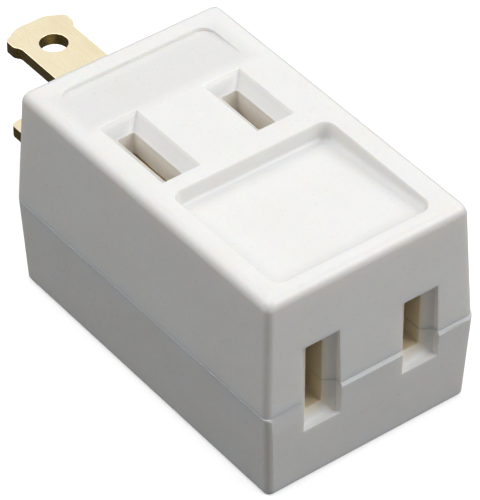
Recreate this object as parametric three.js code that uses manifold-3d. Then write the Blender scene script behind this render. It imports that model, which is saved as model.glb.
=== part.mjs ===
// Cube tap: a moulded plug-in adapter with three two-slot outlets and two flat blades.
// Millimetres, +Z up. The plug blades point along +Y, the outlet end faces -Y, and the tap rests on its
// underside. The neutral side, with the longer slots and the upper blade, is at -X.
import * as THREE from 'three';
import { mergeVertices } from 'three/addons/utils/BufferGeometryUtils.js';
import Module from 'manifold-3d';

const wasm = await Module();
wasm.setup();

// Housing: a cover and a base that meet at a seam
const BODY_LENGTH = 44;
const BODY_WIDTH = 27;
const BODY_HEIGHT = 25.75;
const SEAM_HEIGHT = 11.2;
const SEAM_GAP = 0.1;
const SEAM_STEP = 0.25; // the base stands proud of the cover at the outlet end
const DRAFT_ANGLE = 2.6;
const TOP_EDGE_RADIUS = 1.25;
const BASE_EDGE_RADIUS = 0.5;
const CORNER_RADIUS = 0.9;
const SIDE_WALL = 2;
const END_WALL = 2.2;
const ROOF_WALL = 2;
const FLOOR_WALL = 2;

// Outlets: slot pairs on the top, the outlet end and the underside
const PITCH = 12.7; // between the slots of a pair, and between the blades
const SLOT_WIDTH = 2.15;
const NEUTRAL_SLOT_LENGTH = 8.4;
const HOT_SLOT_LENGTH = 6.7;
const LEAD_IN = 1.3; // spread of the funnel mouth past the slot, on each side
const FUNNEL_DEPTH = 1.45; // from the face to the end of the funnel
const FACE_LAND = 0.15; // upright rim around the funnel mouth on the top and the underside
const END_LAND = 0.4; // upright rim on the outlet end
const TUNNEL_DEPTH = 4.2;
const TUNNEL_WALL = 1.1;
const OUTLET_SHIFT = 1.1; // sideways, so that a top plug's blades pass an underside plug's
const OUTLET_FROM_PLUG = 16.22; // from the plug face to the middle of the top and underside outlets
const END_OUTLET_HEIGHT = 12.6;

// Recesses in the top face
const POCKET_WIDTH = 20.6;
const POCKET_RIM = 2.25; // from the outlet end to the pocket
const POCKET_GAP = 1.78; // from the pocket to the mouths of the longer slots
const POCKET_SHIFT = -0.3;
const POCKET_DEEP = 2.1; // at the end by the slots
const POCKET_SHALLOW = 1; // at the outlet end
const POCKET_CORNER = 1.3;
const POCKET_WALL_SLOPE = 0.25;
const POCKET_FILLET = 0.8;
const LABEL_WIDTH = 19.5;
const LABEL_LENGTH = 6.7;
const LABEL_RIM = 3.4; // from the plug face to the label recess
const LABEL_DEPTH = 0.45;
const LABEL_CORNER = 1.6;
const LABEL_MOUTH = 0.25; // height over the face up to which the label recess widens

// Seam tongue, welded corner pins and inner ribs
const TONGUE_INSET = 0.75;
const TONGUE_WIDTH = 0.6;
const TONGUE_HEIGHT = 0.8;
const BOSS_RADIUS = 1.6;
const BOSS_BITE = 0.5; // how far a boss is sunk into the walls beside it
const PIN_RADIUS = 0.75;
const PIN_LENGTH = 4;
const RIB = 1.2;
const BARRIER = 1.4;
const FORK_DEPTH = 4; // grip of a forked rib on the edge of a bus plate

// Plug blades
const BLADE_THICKNESS = 1.5;
const BLADE_REACH = 16.3; // past the plug face
const NEUTRAL_HEAD_WIDTH = 7.94;
const NEUTRAL_SHANK_WIDTH = 6.9;
const NEUTRAL_HEAD_LENGTH = 2.75;
const NEUTRAL_TIP_ACROSS = 2.2;
const NEUTRAL_TIP_ALONG = 1.15;
const HOT_BLADE_WIDTH = 6.35;
const HOT_TIP_ACROSS = 0.8;
const HOT_TIP_ALONG = 0.35;
const BLADE_HOLE_RADIUS = 1.6;
const BLADE_HOLE_FROM_TIP = 4.6;
const ANCHOR_LENGTH = 5.6;
const ANCHOR_SHOULDER = 0.6; // spread of the anchor past the blade, on each side

// Contacts: a bus plate for each pole, with a spring leaf for each outlet
const BUS_THICKNESS = 0.7;
const LEAF_THICKNESS = 0.5;
const LEAF_PRELOAD = 0.15;
const LEAF_SIDE_PLAY = 0.5; // a leaf is narrower than its slot by this, on each side
const LEAF_RELIEF = 0.3; // clear of a fitted blade, behind the point of contact
const LEAF_FLARE = 0.6;
const FLARE_LENGTH = 2.6;
const FOOT_LENGTH = 2.3;
const KNEE_LENGTH = 1.7;
const JAW_HEIGHT = 6.2;
const BEND_RADIUS = 0.6;
const STRAP_DROP = 4;
const STRAP_REACH = 3.4; // of the strap past the middle of its blade
const BLADE_RIVET_RADIUS = 1;
const LEAF_RIVET_RADIUS = 0.6;
const RIVET_HEAD_SPREAD = 0.5;
const RIVET_HEAD_HEIGHT = 0.4;
const RIVET_CROWN = 0.7; // radius of a head's flat crown, as a share of the head's

const FIT = 0.1; // clearance between parts that meet
const CLEARANCE = 0.3; // between parts that pass each other
const ARC_STEPS = 6;
const ROUND_SEGMENTS = 16;
const OVERCUT = 1; // how far a cutting body runs past the face that it opens
const SNAP = 1 / 4096; // grid that the points of a body are rounded to
const SAME_POINT = 1e-4; // points closer than this are one

const coverLook = { color: 0xf2f2ef, roughness: 0.42, metalness: 0 };
const baseLook = { color: 0xefeeeb, roughness: 0.45, metalness: 0 };
const bladeLook = { color: 0xe6cf98, roughness: 0.3, metalness: 1 };
const contactLook = { color: 0xc9a75c, roughness: 0.38, metalness: 1 };
const rivetLook = { color: 0xbd9a55, roughness: 0.4, metalness: 1 };

// Plans at the seam, and the levels that several parts share
const draft = Math.tan(THREE.MathUtils.degToRad(DRAFT_ANGLE));
const basePlan = { x0: -BODY_WIDTH / 2, x1: BODY_WIDTH / 2, y0: -BODY_LENGTH / 2, y1: BODY_LENGTH / 2 };
const coverPlan = { ...basePlan, y0: basePlan.y0 + SEAM_STEP };
const cavityPlan = {
  x0: coverPlan.x0 + SIDE_WALL, x1: coverPlan.x1 - SIDE_WALL,
  y0: coverPlan.y0 + END_WALL, y1: coverPlan.y1 - END_WALL,
};
const roofHeight = BODY_HEIGHT - ROOF_WALL;
const pocketRoofHeight = BODY_HEIGHT - POCKET_DEEP - ROOF_WALL;
const baseRimHeight = SEAM_HEIGHT - SEAM_GAP;
const busTop = BODY_HEIGHT - TUNNEL_DEPTH - CLEARANCE;
const busBottom = TUNNEL_DEPTH + CLEARANCE;
const outletY = coverPlan.y1 - OUTLET_FROM_PLUG;
const pocketEdge = outletY - NEUTRAL_SLOT_LENGTH / 2 - LEAD_IN - POCKET_GAP;

// Stations along the tap, from the outlet end to the plug face
const jawMouth = coverPlan.y0 + TUNNEL_DEPTH + CLEARANCE;
const ribY = outletY - NEUTRAL_SLOT_LENGTH / 2 - TUNNEL_WALL - 2 * FIT - RIB / 2;
const busFront = ribY - RIB;
const headRadius = LEAF_RIVET_RADIUS + RIVET_HEAD_SPREAD;
const leafRivetY = outletY + NEUTRAL_SLOT_LENGTH / 2 + CLEARANCE + headRadius + CLEARANCE;
const tabEnd = leafRivetY + headRadius + CLEARANCE;
const rearRibY = tabEnd + CLEARANCE + RIB / 2;
const anchorEnd = cavityPlan.y1 - draft * (PITCH / 2 + BLADE_THICKNESS) - FIT;
const anchorStart = anchorEnd - ANCHOR_LENGTH;
const strapStart = anchorStart + CLEARANCE;
const strapEnd = anchorEnd - FIT;
const strapMiddle = (strapStart + strapEnd) / 2;
const busRear = Math.max(rearRibY + RIB / 2, strapStart) + CLEARANCE;

// The neutral pole is at -X with its blade above the seam, and the hot pole at +X with its blade below.
const poles = {
  neutral: {
    x: -PITCH / 2, outward: -1, slot: NEUTRAL_SLOT_LENGTH, bladeZ: SEAM_HEIGHT + PITCH / 2,
    head: NEUTRAL_HEAD_WIDTH, shank: NEUTRAL_SHANK_WIDTH,
    tipAcross: NEUTRAL_TIP_ACROSS, tipAlong: NEUTRAL_TIP_ALONG, strapRise: -STRAP_DROP,
  },
  hot: {
    x: PITCH / 2, outward: 1, slot: HOT_SLOT_LENGTH, bladeZ: SEAM_HEIGHT - PITCH / 2,
    head: HOT_BLADE_WIDTH, shank: HOT_BLADE_WIDTH,
    tipAcross: HOT_TIP_ACROSS, tipAlong: HOT_TIP_ALONG, strapRise: STRAP_DROP,
  },
};

// A closed three.js geometry as a solid that can be joined and cut. Its points are snapped to a fine grid,
// so that faces of two bodies that are meant to lie in one plane do.
function solid(geometry) {
  const plain = geometry.clone();
  plain.deleteAttribute('normal');
  plain.deleteAttribute('uv');
  plain.attributes.position.array.forEach((value, k, all) => {
    all[k] = Math.round(value / SNAP) * SNAP;
  });
  const merged = mergeVertices(plain, SAME_POINT);
  return new wasm.Manifold(new wasm.Mesh({
    numProp: 3,
    vertProperties: Float32Array.from(merged.attributes.position.array),
    triVerts: Uint32Array.from(merged.index.array),
  }));
}

function joined(geometries) {
  return geometries.map(solid).reduce((sum, part) => sum.add(part));
}

function node(name, body, look) {
  const { vertProperties, triVerts } = body.getMesh();
  const geometry = new THREE.BufferGeometry();
  geometry.setAttribute('position', new THREE.BufferAttribute(vertProperties, 3));
  geometry.setIndex(new THREE.BufferAttribute(triVerts, 1));
  geometry.computeVertexNormals();
  const mesh = new THREE.Mesh(geometry, new THREE.MeshStandardMaterial(look));
  mesh.name = name;
  return mesh;
}

function box(x0, x1, y0, y1, z0, z1) {
  const geometry = new THREE.BoxGeometry(x1 - x0, y1 - y0, z1 - z0);
  return geometry.translate((x0 + x1) / 2, (y0 + y1) / 2, (z0 + z1) / 2);
}

function post(x, y, z0, z1, radius) {
  const geometry = new THREE.CylinderGeometry(radius, radius, z1 - z0, ROUND_SEGMENTS);
  return geometry.rotateX(Math.PI / 2).translate(x, y, (z0 + z1) / 2);
}

function centredPlan(width, length) {
  return { x0: -width / 2, x1: width / 2, y0: -length / 2, y1: length / 2 };
}

function inset({ x0, x1, y0, y1 }, d) {
  return { x0: x0 + d, x1: x1 - d, y0: y0 + d, y1: y1 - d };
}

// Outline of a rectangle with rounded corners, with the same number of points at any size.
function rounded({ x0, x1, y0, y1 }, radius) {
  const r = Math.max(radius, FIT);
  const quarter = Math.PI / 2;
  const shape = new THREE.Shape();
  shape.absarc(x1 - r, y1 - r, r, 0, quarter);
  shape.absarc(x0 + r, y1 - r, r, quarter, 2 * quarter);
  shape.absarc(x0 + r, y0 + r, r, 2 * quarter, 3 * quarter);
  shape.absarc(x1 - r, y0 + r, r, 3 * quarter, 4 * quarter);
  return shape.getPoints(ARC_STEPS);
}

// Skin over a stack of rings from the lowest to the highest. A ring's z may vary over its outline.
function loft(rings) {
  const count = rings[0].outline.length;
  const position = rings.flatMap(({ outline, z }) => (
    outline.flatMap((p) => [p.x, p.y, typeof z === 'function' ? z(p) : z])
  ));
  const index = [];
  for (let k = 0; k + 1 < rings.length; k += 1) {
    for (let i = 0; i < count; i += 1) {
      const a = k * count + i;
      const b = k * count + ((i + 1) % count);
      index.push(a, b, b + count, a, b + count, a + count);
    }
  }
  const top = (rings.length - 1) * count;
  for (const [a, b, c] of THREE.ShapeUtils.triangulateShape(rings[0].outline, [])) index.push(a, c, b);
  for (const [a, b, c] of THREE.ShapeUtils.triangulateShape(rings.at(-1).outline, [])) {
    index.push(top + a, top + b, top + c);
  }
  const geometry = new THREE.BufferGeometry();
  geometry.setAttribute('position', new THREE.Float32BufferAttribute(position, 3));
  return geometry.setIndex(index);
}

// Steps of a quarter round that turns from an upright wall to a level face.
function quarterRound(radius) {
  return Array.from({ length: ARC_STEPS + 1 }, (_, k) => {
    const angle = (k / ARC_STEPS) * (Math.PI / 2);
    return { inward: radius * (1 - Math.cos(angle)), rise: radius * Math.sin(angle) };
  });
}

// Rings measured away from the seam, upwards for the cover (side 1) and downwards for the base (side -1).
function fromSeam(side, rings) {
  const placed = rings.map(({ outline, away }) => ({ outline, z: SEAM_HEIGHT + side * away }));
  return loft(side > 0 ? placed : placed.reverse());
}

// Outer form of a shell: drafted walls that end in a rounded edge.
function draftedBlock(side, plan, height, edgeRadius, rim) {
  const straight = height - edgeRadius;
  const edge = quarterRound(edgeRadius).map(({ inward, rise }) => {
    const away = straight + rise;
    return { outline: rounded(inset(plan, draft * away + inward), CORNER_RADIUS - inward), away };
  });
  return fromSeam(side, [...rim, ...edge]);
}

function hollow(side, plan, height) {
  return fromSeam(side, [
    { outline: rounded(inset(plan, -draft * OVERCUT), CORNER_RADIUS), away: -OVERCUT },
    { outline: rounded(inset(plan, draft * height), CORNER_RADIUS), away: height },
  ]);
}

// Slot with its funnel mouth below a land, long side along Y, opening upwards at z = 0.
function slotCutter(length, land) {
  const throat = rounded(centredPlan(SLOT_WIDTH, length), FIT);
  const mouth = rounded(centredPlan(SLOT_WIDTH + 2 * LEAD_IN, length + 2 * LEAD_IN), FIT);
  return loft([
    { outline: throat, z: -TUNNEL_DEPTH - OVERCUT },
    { outline: throat, z: -FUNNEL_DEPTH },
    { outline: mouth, z: -land },
    { outline: mouth, z: OVERCUT },
  ]);
}

// Block around a slot that carries its tunnel past the wall.
function tunnelBlock(length) {
  const { x0, x1, y0, y1 } = centredPlan(SLOT_WIDTH + 2 * TUNNEL_WALL, length + 2 * TUNNEL_WALL);
  return box(x0, x1, y0, y1, -TUNNEL_DEPTH, -FUNNEL_DEPTH);
}

// Places what belongs to a slot on its face of the housing, for both poles.
function onTop(make) {
  return Object.values(poles).map(({ x, slot }) => (
    make(slot, FACE_LAND).translate(x - OUTLET_SHIFT, outletY, BODY_HEIGHT)
  ));
}
function onEnd(make) {
  return Object.values(poles).map(({ x, slot }) => (
    make(slot, END_LAND).rotateX(Math.PI / 2).translate(x, coverPlan.y0, END_OUTLET_HEIGHT)
  ));
}
function onUnderside(make) {
  return Object.values(poles).map(({ x, slot }) => (
    make(slot, FACE_LAND).rotateX(Math.PI).translate(x + OUTLET_SHIFT, outletY, 0)
  ));
}

// Recess in the top face, with leaning walls, a rounded foot and a floor that may slope.
function recessCutter(plan, corner, depthAt, wallSlope, fillet) {
  const walls = quarterRound(1).map(({ inward, rise }) => ({
    inward: wallSlope + fillet * inward, share: 1 - (fillet / POCKET_DEEP) * (1 - rise),
  }));
  const rings = [{ inward: 0, share: 0 }, ...walls].map(({ inward, share }) => ({
    outline: rounded(inset(plan, inward), corner), z: ({ y }) => BODY_HEIGHT - share * depthAt(y),
  }));
  return loft([...rings.reverse(), { outline: rounded(plan, corner), z: BODY_HEIGHT + OVERCUT }]);
}

function pocketCutter() {
  const plan = {
    x0: POCKET_SHIFT - POCKET_WIDTH / 2, x1: POCKET_SHIFT + POCKET_WIDTH / 2,
    y0: coverPlan.y0 + POCKET_RIM, y1: pocketEdge,
  };
  const depthAt = (y) => THREE.MathUtils.mapLinear(y, plan.y0, plan.y1, POCKET_SHALLOW, POCKET_DEEP);
  return recessCutter(plan, POCKET_CORNER, depthAt, POCKET_WALL_SLOPE, POCKET_FILLET);
}

// The label recess runs out to nothing towards the slots, so its plan starts above the face.
function labelCutter() {
  const y1 = coverPlan.y1 - LABEL_RIM;
  const runOut = y1 - LABEL_LENGTH;
  const plan = {
    x0: POCKET_SHIFT - LABEL_WIDTH / 2, x1: POCKET_SHIFT + LABEL_WIDTH / 2, y0: runOut - LABEL_CORNER, y1,
  };
  const depthAt = (y) => THREE.MathUtils.mapLinear(y, runOut, y1, 0, LABEL_DEPTH);
  const floor = rounded(inset(plan, LABEL_DEPTH / 2), LABEL_CORNER);
  const mouth = rounded(plan, LABEL_CORNER);
  return loft([
    { outline: floor, z: ({ y }) => BODY_HEIGHT - depthAt(y) },
    { outline: mouth, z: BODY_HEIGHT + LABEL_MOUTH },
    { outline: mouth, z: BODY_HEIGHT + OVERCUT },
  ]);
}

// Band along the rim, between two insets of the cover's plan.
function rimBand(from, to, z0, z1) {
  const block = (d) => solid(loft([z0, z1].map((z) => (
    { outline: rounded(inset(coverPlan, d), CORNER_RADIUS), z }
  ))));
  return block(from).subtract(block(to));
}

// Everything between two levels, to keep one shell's share of what spans the seam.
function layer(z0, z1) {
  return solid(box(-BODY_WIDTH, BODY_WIDTH, -BODY_LENGTH, BODY_LENGTH, z0, z1));
}

// Places of the corner bosses, each sunk a little into the walls beside it.
const bossPlan = inset(cavityPlan, BOSS_RADIUS - BOSS_BITE);
const corners = [bossPlan.x0, bossPlan.x1].flatMap((x) => [bossPlan.y0, bossPlan.y1].map((y) => ({ x, y })));

const clampX = BLADE_RIVET_RADIUS + RIVET_HEAD_SPREAD + CLEARANCE + RIB / 2;

// Forked cross rib, rear stops and barrier of one shell. The fork grips a bus edge, and the stops back it.
function innerRibs(forkEdge, forkSide, wallLevel, barrierEdge) {
  const forkEnd = forkEdge + forkSide * FORK_DEPTH;
  const level = (z0, z1) => [Math.min(z0, z1), Math.max(z0, z1)];
  const ribLevels = level(wallLevel, forkEnd);
  const notchLevels = level(forkEdge - forkSide * FIT, forkEnd + forkSide * OVERCUT);
  const reach = cavityPlan.x1 + FIT;
  const barrierEnd = anchorStart - CLEARANCE;
  const ribs = [
    box(-reach, reach, ribY - RIB / 2, ribY + RIB / 2, ...ribLevels),
    box(-BARRIER / 2, BARRIER / 2, cavityPlan.y0 - FIT, barrierEnd, ...level(wallLevel, barrierEdge)),
  ];
  for (const { x, outward } of Object.values(poles)) {
    const side = x + outward * (BUS_THICKNESS / 2 + FIT);
    const [x0, x1] = level(side, outward * reach);
    ribs.push(box(x0, x1, rearRibY - RIB / 2, rearRibY + RIB / 2, ...ribLevels));
  }
  const notchHalf = BUS_THICKNESS / 2 + FIT;
  const notches = Object.values(poles).map(({ x }) => (
    box(x - notchHalf, x + notchHalf, ribY - RIB, ribY + RIB, ...notchLevels)
  ));
  return joined(ribs).subtract(joined(notches));
}

function bladeClamps(z0, z1) {
  return joined([-clampX, clampX].map((x) => (
    box(x - RIB / 2, x + RIB / 2, strapStart, cavityPlan.y1 + FIT, z0, z1)
  )));
}

function bladeOpening({ head, bladeZ }) {
  const half = BLADE_THICKNESS / 2 + FIT;
  const y0 = cavityPlan.y1 - OVERCUT;
  const y1 = coverPlan.y1 + OVERCUT;
  return solid(box(-head / 2 - FIT, head / 2 + FIT, y0, y1, bladeZ - half, bladeZ + half));
}

function makeCover() {
  const height = BODY_HEIGHT - SEAM_HEIGHT;
  const rim = [{ outline: rounded(coverPlan, CORNER_RADIUS), away: 0 }];
  const outside = solid(draftedBlock(1, coverPlan, height, TOP_EDGE_RADIUS, rim));
  const backPlan = { ...cavityPlan, y0: pocketEdge + ROOF_WALL };
  const inside = joined([
    hollow(1, cavityPlan, pocketRoofHeight - SEAM_HEIGHT),
    hollow(1, backPlan, roofHeight - SEAM_HEIGHT),
  ]);
  const strapTop = poles.neutral.bladeZ + BLADE_THICKNESS / 2 + 2 * FIT + BUS_THICKNESS;
  const endTunnels = joined(onEnd(tunnelBlock)).intersect(layer(SEAM_HEIGHT, BODY_HEIGHT));
  const pins = corners.flatMap(({ x, y }) => [
    post(x, y, SEAM_HEIGHT, pocketRoofHeight + FIT, BOSS_RADIUS),
    post(x, y, SEAM_HEIGHT - PIN_LENGTH, SEAM_HEIGHT + RIB, PIN_RADIUS),
  ]);
  const tongue = rimBand(
    TONGUE_INSET, TONGUE_INSET + TONGUE_WIDTH, SEAM_HEIGHT - TONGUE_HEIGHT, SEAM_HEIGHT + TONGUE_HEIGHT,
  );
  const recesses = joined([...onTop(slotCutter), ...onEnd(slotCutter), pocketCutter(), labelCutter()]);
  return outside.subtract(inside)
    .add(joined(onTop(tunnelBlock))).add(endTunnels).add(joined(pins)).add(tongue)
    .add(innerRibs(busTop, -1, roofHeight + FIT, SEAM_HEIGHT).intersect(outside))
    .add(bladeClamps(strapTop, roofHeight + FIT))
    .subtract(recesses)
    .subtract(bladeOpening(poles.neutral));
}

function makeBase() {
  const rim = [
    { outline: rounded({ ...basePlan, y0: coverPlan.y0 }, CORNER_RADIUS), away: SEAM_GAP },
    { outline: rounded(basePlan, CORNER_RADIUS), away: SEAM_GAP + SEAM_STEP },
  ];
  const outside = solid(draftedBlock(-1, basePlan, SEAM_HEIGHT, BASE_EDGE_RADIUS, rim));
  const inside = solid(hollow(-1, cavityPlan, SEAM_HEIGHT - FLOOR_WALL));
  const endTunnels = joined(onEnd(tunnelBlock)).intersect(layer(0, baseRimHeight));
  const groove = rimBand(
    TONGUE_INSET - FIT, TONGUE_INSET + TONGUE_WIDTH + FIT,
    SEAM_HEIGHT - TONGUE_HEIGHT - FIT, SEAM_HEIGHT + OVERCUT,
  );
  const bosses = corners.map(({ x, y }) => post(x, y, FLOOR_WALL - FIT, baseRimHeight, BOSS_RADIUS));
  const pinHoles = corners.map(({ x, y }) => (
    post(x, y, SEAM_HEIGHT - PIN_LENGTH - CLEARANCE, SEAM_HEIGHT + OVERCUT, PIN_RADIUS + FIT)
  ));
  const clampTop = poles.hot.bladeZ - BLADE_THICKNESS / 2 - FIT;
  const holes = joined([...onUnderside(slotCutter), ...onEnd(slotCutter), ...pinHoles]);
  return outside.subtract(inside)
    .add(joined(onUnderside(tunnelBlock))).add(endTunnels).add(joined(bosses))
    .add(innerRibs(busBottom, 1, FLOOR_WALL - FIT, baseRimHeight).intersect(outside))
    .add(bladeClamps(FLOOR_WALL - FIT, clampTop))
    .subtract(groove).subtract(holes)
    .subtract(bladeOpening(poles.hot));
}

// Flat blade: anchor inside the plug wall, shank, and a head that may be wider, with clipped tip corners.
function makeBlade({ head, shank, bladeZ, tipAcross, tipAlong }) {
  const tip = coverPlan.y1 + BLADE_REACH;
  const anchor = head / 2 + ANCHOR_SHOULDER;
  const shoulder = (head - shank) / 2;
  const half = [
    [anchor, anchorStart], [anchor, anchorEnd], [shank / 2, anchorEnd],
    [shank / 2, tip - NEUTRAL_HEAD_LENGTH - shoulder], [head / 2, tip - NEUTRAL_HEAD_LENGTH],
    [head / 2, tip - tipAlong], [head / 2 - tipAcross, tip],
  ].map(([x, y]) => new THREE.Vector2(x, y));
  const mirrored = half.map(({ x, y }) => new THREE.Vector2(-x, y)).reverse();
  const shape = new THREE.Shape([...half, ...mirrored]);
  const hole = (y, radius) => new THREE.Path().absarc(0, y, radius, 0, 2 * Math.PI, true);
  shape.holes.push(
    hole(tip - BLADE_HOLE_FROM_TIP, BLADE_HOLE_RADIUS),
    hole(strapMiddle, BLADE_RIVET_RADIUS + FIT),
  );
  const plate = new THREE.ExtrudeGeometry(shape, {
    depth: BLADE_THICKNESS, bevelEnabled: false, curveSegments: ROUND_SEGMENTS,
  });
  return solid(plate.translate(0, 0, bladeZ - BLADE_THICKNESS / 2));
}

// Side outline of a bent strip: its middle line through the corner points, with rounded bends.
function bentStrip(points, thickness) {
  const path = new THREE.Path();
  const corner = points.map(([x, y]) => new THREE.Vector2(x, y));
  path.moveTo(corner[0].x, corner[0].y);
  for (let k = 1; k + 1 < corner.length; k += 1) {
    const here = corner[k];
    const back = corner[k - 1].clone().sub(here);
    const on = corner[k + 1].clone().sub(here);
    const trim = Math.min(
      (BEND_RADIUS + thickness / 2) / Math.tan(back.angleTo(on) / 2), back.length() / 2, on.length() / 2,
    );
    const start = here.clone().addScaledVector(back.normalize(), trim);
    const end = here.clone().addScaledVector(on.normalize(), trim);
    path.lineTo(start.x, start.y);
    path.quadraticCurveTo(here.x, here.y, end.x, end.y);
  }
  path.lineTo(corner.at(-1).x, corner.at(-1).y);
  const middle = path.getPoints(ARC_STEPS).filter((p, k, all) => (
    k === 0 || p.distanceTo(all[k - 1]) > SAME_POINT
  ));
  const offset = (side) => middle.map((p, k) => {
    const before = middle[Math.max(k - 1, 0)];
    const after = middle[Math.min(k + 1, middle.length - 1)];
    const across = after.clone().sub(before).normalize().multiplyScalar(side * thickness / 2);
    return new THREE.Vector2(p.x - across.y, p.y + across.x);
  });
  return new THREE.Shape([...offset(-1), ...offset(1).reverse()]);
}

// Extrusions of an outline that is drawn in the XY, XZ or YZ plane.
function alongZ(shape, z0, z1) {
  return new THREE.ExtrudeGeometry(shape, { depth: z1 - z0, bevelEnabled: false }).translate(0, 0, z0);
}
function alongY(shape, y0, y1) {
  return new THREE.ExtrudeGeometry(shape, { depth: y1 - y0, bevelEnabled: false })
    .rotateX(Math.PI / 2).translate(0, y1, 0);
}

function rivetPost(radius, from, to) {
  return post(0, 0, from, to, radius).rotateY(Math.PI / 2);
}

const jawZ = [END_OUTLET_HEIGHT - JAW_HEIGHT / 2, END_OUTLET_HEIGHT + JAW_HEIGHT / 2];
const leafFoot = BUS_THICKNESS / 2 + FIT + LEAF_THICKNESS / 2;
const endFootEnd = busFront + FOOT_LENGTH;

// Rivet places on a pole: [y, z, side of the bus plate that carries the leaf].
function leafRivets({ outward }) {
  return {
    top: { y: leafRivetY, z: busBottom + FIT + FOOT_LENGTH / 2, side: -1 },
    base: { y: leafRivetY, z: busTop - FIT - FOOT_LENGTH / 2, side: 1 },
    end: { y: (busFront + endFootEnd) / 2, z: END_OUTLET_HEIGHT, side: -outward },
  };
}

// Strap bent from the bus plate over its blade. It ends past the middle of the blade.
function strapLevel({ bladeZ }) {
  return bladeZ + BLADE_THICKNESS / 2 + FIT + BUS_THICKNESS / 2;
}

function makeBus(pole) {
  const { x, outward, strapRise } = pole;
  const plate = box(x - BUS_THICKNESS / 2, x + BUS_THICKNESS / 2, busFront, busRear, busBottom, busTop);
  const strapZ = strapLevel(pole);
  const strap = alongY(bentStrip([
    [x, strapZ + strapRise], [x, strapZ], [outward * -STRAP_REACH, strapZ],
  ], BUS_THICKNESS), strapStart, strapEnd);
  const back = BLADE_THICKNESS / 2 + LEAF_RELIEF + BUS_THICKNESS / 2;
  const touch = BLADE_THICKNESS / 2 + BUS_THICKNESS / 2 - LEAF_PRELOAD;
  const arm = alongZ(bentStrip([
    [x, busFront + FIT], [x, busFront - CLEARANCE],
    [x + outward * back, busFront - CLEARANCE - KNEE_LENGTH],
    [x + outward * back, (busFront + jawMouth) / 2],
    [x + outward * touch, jawMouth + FLARE_LENGTH],
    [x + outward * (touch + LEAF_FLARE), jawMouth],
  ], BUS_THICKNESS), ...jawZ);
  const holes = Object.values(leafRivets(pole)).map(({ y, z }) => (
    rivetPost(LEAF_RIVET_RADIUS + FIT, -BUS_THICKNESS, BUS_THICKNESS).translate(x, y, z)
  ));
  const bladeHole = post(
    0, strapMiddle, strapZ - BUS_THICKNESS, strapZ + BUS_THICKNESS, BLADE_RIVET_RADIUS + FIT,
  );
  return joined([plate, strap, arm]).subtract(joined([...holes, bladeHole]));
}

// Spring leaf of the top or the underside outlet. It stands on its foot and flares at the slot.
function makeFaceLeaf(pole, face) {
  const { x, slot } = pole;
  const rivet = leafRivets(pole)[face];
  const up = face === 'top' ? 1 : -1;
  const footZ = rivet.z - up * (FOOT_LENGTH / 2);
  const mouthZ = face === 'top' ? busTop : busBottom;
  const at = (out, z) => [x + rivet.side * out, z];
  const outer = BUS_THICKNESS / 2 + BLADE_THICKNESS + LEAF_THICKNESS / 2;
  const half = slot / 2 - LEAF_SIDE_PLAY;
  const spring = alongY(bentStrip([
    at(leafFoot, footZ), at(leafFoot, footZ + up * FOOT_LENGTH),
    at(outer + LEAF_RELIEF, footZ + up * (FOOT_LENGTH + KNEE_LENGTH)),
    at(outer + LEAF_RELIEF, (footZ + mouthZ) / 2),
    at(outer - LEAF_PRELOAD, mouthZ - up * FLARE_LENGTH),
    at(outer - LEAF_PRELOAD + LEAF_FLARE, mouthZ),
  ], LEAF_THICKNESS), outletY - half, outletY + half);
  const tabStart = outletY + half - FIT;
  const tab = new THREE.BoxGeometry(LEAF_THICKNESS, tabEnd - tabStart, FOOT_LENGTH)
    .translate(x + rivet.side * leafFoot, (tabStart + tabEnd) / 2, rivet.z);
  const hole = rivetPost(LEAF_RIVET_RADIUS + FIT, -BUS_THICKNESS, BUS_THICKNESS)
    .translate(x + rivet.side * leafFoot, rivet.y, rivet.z);
  return joined([spring, tab]).subtract(solid(hole));
}

// Spring leaf of the end outlet, on the inner side of the pole, facing the arm of the bus plate.
function makeEndLeaf(pole) {
  const { x, outward } = pole;
  const rivet = leafRivets(pole).end;
  const at = (out, y) => [x - outward * out, y];
  const outer = BLADE_THICKNESS / 2 + LEAF_THICKNESS / 2;
  const spring = alongZ(bentStrip([
    at(leafFoot, endFootEnd), at(leafFoot, busFront - CLEARANCE),
    at(outer + LEAF_RELIEF, busFront - CLEARANCE - KNEE_LENGTH),
    at(outer + LEAF_RELIEF, (busFront + jawMouth) / 2),
    at(outer - LEAF_PRELOAD, jawMouth + FLARE_LENGTH),
    at(outer - LEAF_PRELOAD + LEAF_FLARE, jawMouth),
  ], LEAF_THICKNESS), ...jawZ);
  const hole = rivetPost(LEAF_RIVET_RADIUS + FIT, -BUS_THICKNESS, BUS_THICKNESS)
    .translate(x - outward * leafFoot, rivet.y, rivet.z);
  return solid(spring).subtract(solid(hole));
}

// Rivet along Z with a domed head at each end, centred on its grip.
function rivetGeometry(radius, grip) {
  const head = radius + RIVET_HEAD_SPREAD;
  const end = grip / 2 + RIVET_HEAD_HEIGHT;
  const crown = head * RIVET_CROWN;
  const shoulder = end - RIVET_HEAD_HEIGHT / 2;
  const profile = [
    [0, -end], [crown, -end], [head, -shoulder], [head, -grip / 2], [radius, -grip / 2],
    [radius, grip / 2], [head, grip / 2], [head, shoulder], [crown, end], [0, end],
  ].map(([x, y]) => new THREE.Vector2(x, y));
  return new THREE.LatheGeometry(profile, ROUND_SEGMENTS).rotateX(Math.PI / 2);
}

function makeBladeRivet({ bladeZ }) {
  const grip = BLADE_THICKNESS + FIT + BUS_THICKNESS + 2 * FIT;
  const middle = bladeZ + (FIT + BUS_THICKNESS) / 2;
  return solid(rivetGeometry(BLADE_RIVET_RADIUS, grip).translate(0, strapMiddle, middle));
}

function makeLeafRivet(pole, outlet) {
  const { y, z, side } = leafRivets(pole)[outlet];
  const grip = BUS_THICKNESS + LEAF_THICKNESS + 3 * FIT;
  const middle = pole.x + side * (LEAF_THICKNESS + FIT) / 2;
  return solid(rivetGeometry(LEAF_RIVET_RADIUS, grip).rotateY(Math.PI / 2).translate(middle, y, z));
}

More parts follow.
